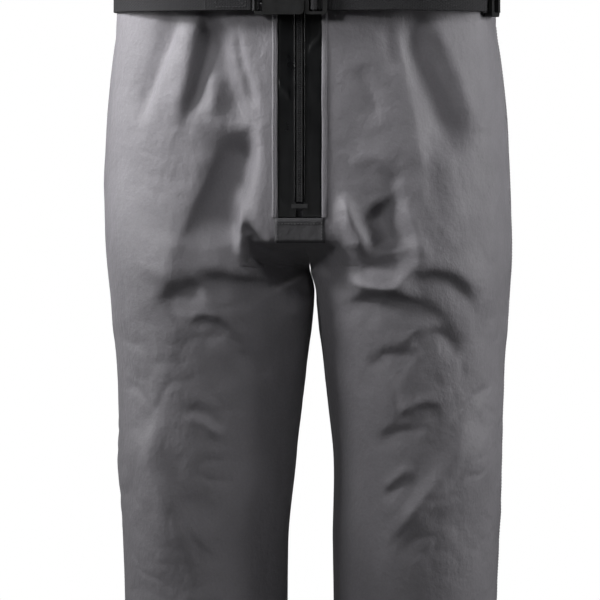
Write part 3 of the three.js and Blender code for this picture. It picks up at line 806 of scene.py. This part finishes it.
def flat_area(grid):
    a = grid[1:, :-1] - grid[:-1, :-1]
    b = grid[:-1, 1:] - grid[:-1, :-1]
    return float(np.linalg.norm(np.cross(a, b), axis=-1).sum())


def declare_sheet(flat, area):
    """flat is the width and length it was cut to; area is that of the cut's own outline."""
    whole = flat[0] * flat[1]
    area = max(min(area, whole), 0.301 * whole)


def declare_strip(obj, width, *paths, held="stretched", rests_on=()):
    """A narrow strip is as long as the paths that it follows."""
    length = sum(float(run_along(path)[-1]) for path in paths)


def add_panel(name, node, side, facing, pitch, columns):
    grid, area, inner = panel_grid(side, facing, pitch, columns)
    flip = (side > 0) == (facing < 0)
    obj = add_grid(name, grid, flip, SHELL, slot="shell_fabric", replaces=(node,))
    declare_sheet((0.37 if facing < 0 else 0.42, 1.08), area)
    return grid, area, flip, inner


def add_lining(part, word, inner, area, flip):
    """The lining hangs inside the pad at the front and close to the shell at the back."""
    inside = inner(10.5 * MM if part == "front" else 5 * MM)[::5, ::4]
    obj = add_grid(f"lining_{part}_{word}", inside, not flip, LINING, slot="lining")
    declare_sheet((0.35 if part == "front" else 0.40, 1.06), area * 0.92)


def add_pad(word, inner, flip):
    """The cut-stopping pad between shell and lining, quilted in upright channels."""
    outer_layer, inner_layer = inner(3.2 * MM), inner(8.6 * MM)
    z = outer_layer[:, 0, 2]
    rows = np.flatnonzero((z > PAD_FOOT) & (z < PAD_TOP))[::4]
    columns = np.arange(12, outer_layer.shape[1] - 12, 2)
    pick = np.ix_(rows, columns)
    centre = (outer_layer[pick] + inner_layer[pick]) / 2
    channel = np.abs(np.sin(np.arange(len(columns)) * math.pi / 8)) ** 0.5
    edge_rows = np.minimum(np.arange(len(rows)), np.arange(len(rows))[::-1]) / 3
    fill = smooth(0.25 + edge_rows)[:, None] * (0.35 + 0.65 * channel)[None, :]
    half = (outer_layer[pick] - inner_layer[pick]) / 2 * (0.27 + 0.70 * fill)[..., None]
    points, faces = shell_of(centre + half, centre - half, flip=flip)
    node = f"protective_pad_{word}"
    obj = add_mesh(f"pad_{word}", points, faces, PAD_COVER, slot="pad_cover", replaces=(node,))


# ---------------- straps, edges and stitches

WEB_HALF = 19.0
WEB_THICK = 1.8


def strap_section(half_width, thickness, selvedge=0.12):
    """A flat strap's outline (across, out) in millimetres, a little thicker at its woven edges."""
    t = thickness / 2
    across = [-1, -0.985, -0.93, -0.88, -0.5, 0, 0.5, 0.88, 0.93, 0.985, 1]
    rise = [0.35, 0.85, 1 + selvedge, 0.95, 0.94, 0.94, 0.94, 0.95, 1 + selvedge, 0.85, 0.35]
    top = [(a * half_width, r * t) for a, r in zip(across, rise)]
    return top + [(a, -r) for a, r in reversed(top)]


def sweep(path, outward, across, section):
    """Points and faces of a strap along a path. outward and across are unit vectors at each point."""
    path, outward, across = (np.asarray(v, float) for v in (path, outward, across))
    section = np.array(section) * MM
    rings = path[:, None] + across[:, None] * section[None, :, :1] + outward[:, None] * section[None, :, 1:]
    rows, columns = rings.shape[:2]
    faces = grid_faces(rows, columns, closed=True)
    faces.append(list(range(columns))[::-1])
    faces.append([(rows - 1) * columns + j for j in range(columns)])
    return rings.reshape(-1, 3), faces


def level_strap(path_xy, z, section):
    """A strap on edge that follows a path in plan."""
    path_xy = np.asarray(path_xy, float)
    path = raised(path_xy, z)
    outward = raised(plan_normals(path_xy), 0)
    return sweep(path, outward, np.tile([0, 0, 1.0], (len(path), 1)), section)


STITCH_PITCH = 3.4
STITCH_LENGTH = 2.5
STITCH_LIFT = 0.1
THREAD_RADIUS = 0.27
# Along a stitch: the share of its length, the thread's size there and how far it rises.
STITCH_RINGS = ((0, 0.35, -0.25), (0.18, 1, 0.1), (0.5, 1.1, 0.35), (0.82, 1, 0.1), (1, 0.35, -0.25))


def stitches(line, normals):
    """Points and faces of a row of thread stitches along a line."""
    run = run_along(line)
    count = int(run[-1] / (STITCH_PITCH * MM))
    start = (np.arange(count) + 0.15) * STITCH_PITCH * MM
    a, b = (along_run(line, run, end) for end in (start, start + STITCH_LENGTH * MM))
    n, d = unit(along_run(normals, run, start)), unit(b - a)
    w = np.cross(d, n)
    rings = []
    for share, size, rise in STITCH_RINGS:
        centre = a + (b - a) * share + n * (rise * THREAD_RADIUS + STITCH_LIFT) * MM
        for k in range(5):
            turn = 2 * math.pi * k / 5
            out = w * math.cos(turn) + n * math.sin(turn)
            rings.append(centre + out * THREAD_RADIUS * size * MM)
    points = np.stack(rings, 1)
    one = grid_faces(5, 5, closed=True) + [[4, 3, 2, 1, 0], [20, 21, 22, 23, 24]]
    faces = [[v + 25 * i for v in face] for i in range(count) for face in one]
    return points.reshape(-1, 3), faces


def joined(parts):
    points, faces, start = [], [], 0
    for p, f in parts:
        points.append(p)
        faces += [[v + start for v in face] for face in f]
        start += len(p)
    return np.concatenate(points), faces


def add_stitching(name, rows, material=THREAD, slot="trim_fabric"):
    points, faces = joined([stitches(line, normals) for line, normals in rows])
    add_mesh(name, points, faces, material, slot=slot)


# ---------------- waistband, hems and fly


def waist_oval(angle):
    power = 2 / WAIST_ROUND
    c, s = np.cos(angle), np.sin(angle)
    depth = np.where(s < 0, WAIST_FRONT, WAIST_BACK)
    x = WAIST_SIDE * np.sign(c) * np.abs(c) ** power
    return np.stack([x, depth * np.sign(s) * np.abs(s) ** power], -1)


def add_waistband(name, node, low, high, count):
    """A doubled band, a little full between its two rows of topstitching."""
    line = waist_oval(np.linspace(low, high, 400))
    if node != "waistband_back":
        line = line[np.abs(line[:, 0]) >= FLY_HALF]
    line = even_line(line, count)
    out = plan_normals(line)
    rows = 26
    z = np.linspace(BAND_Z + 0.4 * MM, TOP_Z, rows)
    up = np.linspace(0, 1, rows)
    full = 1.5 * np.sin(math.pi * up) ** 0.6 - 0.8 * np.exp(-(((up - 0.07) / 0.03) ** 2))
    full -= 0.8 * np.exp(-(((up - 0.94) / 0.03) ** 2)) + 1.6 * np.clip((up - 0.97) / 0.03, 0, 1)
    x, y = line[:, 0][None], line[:, 1][None]
    wave = 0.9 * noise(x * 30 + 0 * z[:, None], y * 30 + 0 * x, z[:, None] * 22 + 0 * x, 11)
    wave *= np.sin(math.pi * up)[:, None] ** 0.5
    bulge = (full[:, None] + wave - 0.3) * MM
    outer = np.stack([x + out[:, 0] * bulge, y + out[:, 1] * bulge, z[:, None] + 0 * x], -1)
    depth = 2.6 * MM + bulge * 0.4
    inner = np.stack([x - out[:, 0] * depth, y - out[:, 1] * depth, z[:, None] + 0 * x], -1)
    flat = (round(float(run_along(line)[-1]), 3), 0.07)
    add_doubled(name, outer, inner, TRIM, "trim_fabric", node)
    return [(outer[row, 2:-2], raised(out, 0)[2:-2]) for row in (2, 23)]


# Round the hem's cross-section in millimetres: how far out of the panel, and the height.
HEM_PROFILE = [
    *[(0.4, 28.2), (0.9, 27.2), (0.95, 22), (0.55, 20.2), (1.1, 18), (1.5, 10), (1.3, 4), (0.7, 1.2)],
    *[(-0.4, 0.1), (-1.6, 0.1), (-2.4, 1.4), (-2.6, 8), (-2.6, 20), (-2.3, 27.4), (-1.0, 28.2)],
]
HEM_SEAM = 20.2 * MM


def add_hem(word, front, back):
    """The doubled, topstitched end of a leg, following the panels' own lower edge."""
    edge = np.concatenate([front[0, :, :2], back[0, ::-1, :2]])
    edge = edge[np.concatenate([[True], np.linalg.norm(np.diff(edge, axis=0), axis=1) > 1e-4])]
    edge = even_line(np.concatenate([edge, edge[:1]]), 161)[:-1]
    centre = edge.mean(0)
    out = unit(edge - centre)
    rings = []
    for offset, z in HEM_PROFILE:
        wobble = 0.5 * noise(edge[:, 0] * 40, edge[:, 1] * 40, np.full(len(edge), z * 0.02), 13)
        push = (offset + wobble * smooth(z / 8) * (offset > 0)) * MM
        rings.append(raised(edge + out * np.reshape(push, (-1, 1)), z * MM))
    rings = np.array(rings + rings[:1])
    faces = grid_faces(len(rings), len(edge), closed=True, flip=word == "right")
    count = len(edge)
    wrap = (len(rings) - 1) * count
    faces = [[v - wrap if v >= wrap else v for v in face] for face in faces]
    points = rings[:-1].reshape(-1, 3)
    obj = add_mesh(f"hem_soft_{word}", points, faces, TRIM, slot="trim_fabric", replaces=(f"hem_{word}",))
    edge, out = (np.concatenate([v, v[:1]]) for v in (edge, out))
    round(float(run_along(edge)[-1]), 3)
    return [(raised(edge + out * 0.7 * MM, HEM_SEAM), raised(out, 0))]


# The fly: how far forward its layers lie, and the patch that closes it below.
TAPE_FACE = -0.1297
FACING_FACE = -0.1311
PATCH_FACE = -0.1315
GUARD_FACE = -0.1244
PATCH_HALF = 0.0262
PATCH_FOOT = 0.8235
PATCH_TOP = 0.850
BEAD_FOOT = 0.866
BEAD_TOP = 1.1385
TAPE_EDGE = 22.9
FLY_OUT = np.array([0, -1.0, 0])


def add_zip_tape(word):
    """Half of the zip's laminated tape: a raised bead beside the teeth and a few soft buckles."""
    side = SIDES[word]
    x = np.concatenate([np.linspace(3.6, 6.0, 8), np.linspace(6.6, TAPE_EDGE, 22)]) * MM
    z = np.linspace(0.8504, 1.1458, 240)
    xx, zz = np.meshgrid(x, z)
    bead = 1.05 * np.exp(-(((xx / MM - 4.75) / 0.75) ** 2))
    bead *= smooth((zz - BEAD_FOOT) / 0.004) * smooth((BEAD_TOP - zz) / 0.004)
    free = smooth((xx / MM - 9.0) / 3.0) * smooth((TAPE_EDGE - xx / MM) / 2.5)
    buckle = 0.45 * noise(xx * side * 50, 0 * xx, zz * 22 + side * 5, 17)
    buckle += 0.06 * noise(xx * 150, 0 * xx, zz * 90, 19)
    slant = np.exp(-(((zz - 1.008 - side * 0.024 - 0.9 * (xx - 0.015)) / 0.005) ** 2)) * 0.7
    face = TAPE_FACE - (bead + free * (buckle + slant)) * MM
    outer = np.stack([side * xx, face, zz], -1)
    inner = np.stack([side * xx, np.maximum(face, TAPE_FACE) + 0.7 * MM, zz], -1)
    film, node = f"zip_tape_film_{word}", f"zip_tape_{word}"
    add_doubled(film, outer, inner, TAPE, "zip_tape", node, flip=side < 0)


def add_fly_facing(word):
    """The turned edge of cloth beside the zip."""
    side = SIDES[word]
    z = np.linspace(PATCH_TOP, BAND_Z - 0.4 * MM, 150)
    lean = 0.25 * MM * noise(z * 40, 0 * z, 0 * z, 23 + side)
    path = np.column_stack([side * (PATCH_HALF + lean), np.full(len(z), FACING_FACE), z])
    half = 2.9
    crown = [(-1, -0.3), (-0.9, 0.1), (-0.5, 0.3), (0, 0.36), (0.5, 0.3), (1, -0.1), (1, -0.5), (-1, -0.5)]
    across = np.tile([-1.0 * side, 0, 0], (len(z), 1))
    points, faces = sweep(*row_facing(path, FLY_OUT), across, [(a * half, r) for a, r in crown])
    if side < 0:
        faces = [face[::-1] for face in faces]
    node = f"zip_facing_{word}"
    obj = add_mesh(f"fly_edge_{word}", points, faces, SHELL, slot="trim_fabric", replaces=(node,))
    seam = np.column_stack([side * (PATCH_HALF + 1.0 * MM + lean), np.full(len(z), PATCH_FACE), z])
    return [row_facing(seam, FLY_OUT)]


def add_end_patch():
    """The patch below the zip: a turned top edge, then cloth that follows the body under it."""
    x = np.linspace(-PATCH_HALF, PATCH_HALF, 60)
    z = np.linspace(PATCH_FOOT, PATCH_TOP, 40)
    xx, zz = np.meshgrid(x, z)
    lip = 0.9 * np.exp(-(((zz - 0.8465) / 0.0028) ** 2)) * smooth((PATCH_HALF - np.abs(xx)) / 0.003)
    roll = 3.2 * smooth((0.8285 - zz) / 0.006) ** 2
    body = 0.8 * noise(xx * 50, 0 * xx, zz * 60, 29)
    round_edge = 0.7 * (1 - smooth((PATCH_HALF - np.abs(xx)) / 0.0022))
    face = PATCH_FACE - (lip + 0.3 * body - roll - round_edge) * MM
    outer = np.stack([xx, face, zz], -1)
    inner = np.stack([xx, np.maximum(face, PATCH_FACE) + 0.8 * MM, zz], -1)
    # The patch's dark cloth is painted shade.
    add_doubled("fly_end_patch", outer, inner, SHADED_PATCH_CLOTH, "trim_fabric", "zip_end_patch")
    edges = (outer[4:-2, 3], outer[4:-2, 56], outer[30, 3:57])
    return [row_facing(edge + FLY_OUT * 0.1 * MM, FLY_OUT) for edge in edges]


def add_fly_guard():
    x = np.linspace(-0.029, 0.029, 16)
    z = np.linspace(0.852, TOP_Z - 0.003, 60)
    xx, zz = np.meshgrid(x, z)
    face = GUARD_FACE + 0.4 * MM * noise(xx * 30, 0 * xx, zz * 18, 31)
    outer = np.stack([xx, face, zz], -1)
    inner = outer + np.array([0, 1.1 * MM, 0])
    add_doubled("fly_guard_soft", outer, inner, LINING, "lining", "fly_guard")


# ---------------- belt

BELT_Z = 1.087
BELT_SIDE = 0.2056
BELT_FRONT = 0.1429
BELT_BACK = 0.1399
BELT_FLAT = 0.066
BELT_FRONT_ROUND = 2.3
HOUSING_BAR = (-0.045, -0.1436)
PLUG_BAR = (0.0165, -0.148)


def belt_point(angle):
    """The belt's middle line. Angle 0 is the wearer's left and -90 degrees the front."""
    c, s = math.cos(angle), math.sin(angle)
    if s >= 0:
        power = 2 / WAIST_ROUND
        return BELT_SIDE * math.copysign(abs(c) ** power, c), BELT_BACK * s**power
    power = 2 / BELT_FRONT_ROUND
    x = math.copysign(BELT_FLAT + (BELT_SIDE - BELT_FLAT) * abs(c) ** power, c)
    return x, -BELT_FRONT * (-s) ** power


def arc(centre, radius, start, end, count):
    turn = np.linspace(start, end, count)
    return [(centre[0] + radius * math.cos(t), centre[1] + radius * math.sin(t)) for t in turn]


def add_belt():
    """One strap: sewn back on itself round the housing's bar, round the waist to behind the plug."""
    front = -math.pi / 2
    angles = np.linspace(front + 1e-4, front + 2 * math.pi - 1e-4, 1400)
    ring = [belt_point(a) for a in angles]
    behind_plug, beside_bar = 0.010, HOUSING_BAR[0] - 0.0045
    main = even_line([(behind_plug, -BELT_FRONT), *ring, (beside_bar, -BELT_FRONT)], 420)
    points, faces = level_strap(main, BELT_Z, strap_section(WEB_HALF, WEB_THICK))
    x, y, z = points.T
    points[:, 2] += 0.35 * MM * noise(x * 22, y * 22, z * 5, 37)
    strap = add_mesh("belt_strap", points, faces, WEBBING, slot="webbing", replaces=("belt_webbing",))
    under = [f"waistband_soft_{word}" for word in ("left", "right", "back")]
    declare_strip(strap, 2 * WEB_HALF * MM, main, rests_on=under)
    turn = arc(HOUSING_BAR, 3.15 * MM, math.radians(250), math.radians(250 - 300), 40)
    tail_start, tail_end = -0.0475, -0.100
    tail = [(x, -BELT_FRONT + 2.1 * MM) for x in np.linspace(tail_start, tail_end, 40)]
    around = level_strap(turn, BELT_Z, strap_section(WEB_HALF, 1.6))
    sewn = level_strap(tail, BELT_Z, strap_section(WEB_HALF - 0.3, WEB_THICK))
    ring = add_mesh("belt_strap_loop", *joined([around, sewn]), WEBBING, slot="webbing")
    declare_strip(ring, 2 * WEB_HALF * MM, turn, tail, held="folded", rests_on=["buckle_housing"])
    near, far, low, high = -0.056, -0.088, 1.072, 1.102
    corners = [(near, low), (near, high), (far, high), (far, low), (near, low), (far, high)]
    corners = [(x, -BELT_FRONT - 0.95 * MM, z) for x, z in corners]
    rows = [row_facing(ends, FLY_OUT) for ends in zip(corners, corners[1:])]
    add_stitching("belt_box_stitch", rows, DARK_THREAD, slot="webbing")


def add_plug_fold():
    """The strap's end round the plug's middle bar."""
    behind_bar = -0.1450
    flat = [(x, behind_bar) for x in np.linspace(0.033, 0.0168, 20)]
    turn = arc(PLUG_BAR, 3.05 * MM, math.radians(90), math.radians(90 + 320), 44)
    half = WEB_HALF - 0.6
    skin = level_strap(flat + turn, BELT_Z, strap_section(half, 1.6))
    facts = {"body": "plug", "slot": "webbing", "replaces": ("webbing_fold",)}
    fold = add_mesh("plug_strap_fold", *skin, WEBBING, **facts)
    declare_strip(fold, 2 * half * MM, flat + turn, held="folded", rests_on=["buckle_plug"])


LOOP_ANGLES = {
    "belt_loop_back": math.pi / 2,
    "belt_loop_back_left": math.pi / 2 - 0.62,
    "belt_loop_back_right": math.pi / 2 + 0.62,
    "belt_loop_side_left": 0.3,
    "belt_loop_side_right": math.pi - 0.3,
}


def add_belt_loop(node, angle):
    """A folded strip of shell cloth over the belt, tacked down above and below it."""
    a, b = np.array(belt_point(angle)), np.array(belt_point(angle + 0.01))
    along = unit(b - a)
    inward = np.array([-along[1], along[0]])
    corner = [(2.9, -31.0), (2.8, -24.5), (1.5, -22.3), (-1.3, -21.6), (-2.0, -19.5)]
    side = [*corner, (-2.15, -10.0), (-2.2, 0.0)]
    path = smooth_path(side + [(y, -z) for y, z in reversed(side[:-1])], 5)
    points3 = np.column_stack([a + inward * path[:, :1] * MM, BELT_Z + path[:, 1] * MM])
    across = np.tile([*along, 0.0], (len(points3), 1))
    outward = np.cross(unit(np.gradient(points3, axis=0)), across)
    half = 6.9
    skin = sweep(points3, outward, across, strap_section(half, 1.25, 0.25))
    strip = add_mesh(node + "_soft", *skin, TRIM, slot="trim_fabric", replaces=(node,))
    declare_strip(strip, 2 * half * MM, points3, rests_on=["belt_strap"])
    rows = []
    middle, reach = a + inward * 2.1 * MM, along * 5.6 * MM
    for level in (-28.5, -26.5, 26.5, 28.5):
        ends = raised([middle - reach, middle + reach], BELT_Z + level * MM)
        rows.append(row_facing(ends, [*-inward, 0.0]))
    return rows


# ---------------- carried-over hard parts


def finish_node(node, material, bevel):
    obj = bpy.data.objects[node]
    obj.data.materials.clear()
    obj.data.materials.append(material)
    cut = obj.modifiers.new("soft_edges", "BEVEL")
    cut.width = bevel * MM
    cut.segments = 3
    cut.limit_method = "ANGLE"
    cut.angle_limit = math.radians(35)
    cut.harden_normals = True
    shade = obj.modifiers.new("even_shading", "WEIGHTED_NORMAL")
    shade.keep_sharp = True


# ---------------- the object

PANELS = {}
seam_rows = []
for word, side in SIDES.items():
    for facing, part in ((-1, "front"), (1, "back")):
        pitch, columns = (FRONT_PITCH, FRONT_COLUMNS) if facing < 0 else (BACK_PITCH, BACK_COLUMNS)
        node = f"{part}_panel_{word}"
        grid, area, flip, inner = add_panel(f"shell_{part}_{word}", node, side, facing, pitch, columns)
        PANELS[part, word] = grid
        add_lining(part, word, inner, area, flip)
        if part == "front":
            add_pad(word, inner, flip)
        else:
            normal = surface_normals(grid) * (-1 if flip else 1)
            seam_rows += [(grid[4:-4:4, column], normal[4:-4:4, column]) for column in (4, 6)]
add_stitching("side_seam_stitches", seam_rows)

half_pi = math.pi / 2
band_rows = add_waistband("waistband_soft_left", "waistband_left", -half_pi, -0.001, 90)
band_rows += add_waistband("waistband_soft_right", "waistband_right", -math.pi + 0.001, -half_pi, 90)
band_rows += add_waistband("waistband_soft_back", "waistband_back", 0.001, math.pi - 0.001, 170)
add_stitching("waistband_stitches", band_rows)

hem_rows = []
for word in SIDES:
    hem_rows += add_hem(word, PANELS["front", word], PANELS["back", word])
add_stitching("hem_stitches", hem_rows)

fly_rows = add_end_patch()
for word in SIDES:
    add_zip_tape(word)
    fly_rows += add_fly_facing(word)
add_stitching("fly_stitches", fly_rows)
add_fly_guard()

add_belt()
add_plug_fold()
loop_rows = []
for node, angle in LOOP_ANGLES.items():
    loop_rows += add_belt_loop(node, angle)
add_stitching("belt_loop_tacks", loop_rows, DARK_THREAD)

# Hard parts keep their CAD shape: the finish, the softened edges' width in millimetres, the nodes.
HARD_PARTS = [
    (PLASTIC, 0.45, ("buckle_housing", "buckle_plug", "buckle_prong_upper", "buckle_prong_lower")),
    (PLASTIC, 0.45, ("tri_glide",)),
    (TEETH, 0.18, ("zip_teeth_left", "zip_teeth_right")),
    (TEETH, 0.3, ("zip_bottom_stop", "zip_top_stop_left", "zip_top_stop_right", "zip_pull")),
    (METAL, 0.25, ("zip_slider_front", "zip_slider_back")),
]
for material, bevel, nodes in HARD_PARTS:
    for node in nodes:
        finish_node(node, material, bevel)

# Each light: place, what it points at, width and height, power in watts and spread in degrees.
LIGHTS = [
    ("key", (-1.20, -0.52, 1.72), (0, 0, 1.13), (0.35, 0.35), 2.45, 46),
    ("side_left", (-2.0, -0.05, 1.45), (0, 0, 1.0), (0.5, 1.2), 8, 90),
    ("side_right", (2.0, -0.10, 1.35), (0, 0, 1.0), (0.5, 1.2), 9.5, 90),
    ("back", (0.0, 3.0, 2.1), (0, 0, 0.7), (0.6, 0.6), 22, 110),
    ("front_low", (-0.2, -2.2, 0.35), (0, 0, 0.45), (0.8, 0.5), 0.38, 28),
    ("front_soft", (-1.5, -1.9, 1.75), (0.03, 0, 1.07), (0.5, 0.5), 0.42, 20),
    ("top_right", (0.45, -0.9, 1.85), (0, 0, 1.15), (0.5, 0.5), 0.5, 50),
]
add_camera()
for light in LIGHTS:
    add_area_light(*light)
add_world(0.015)
add_floor(studio_floor("pale_floor"))
bpy.context.scene.view_settings.view_transform = "Standard"
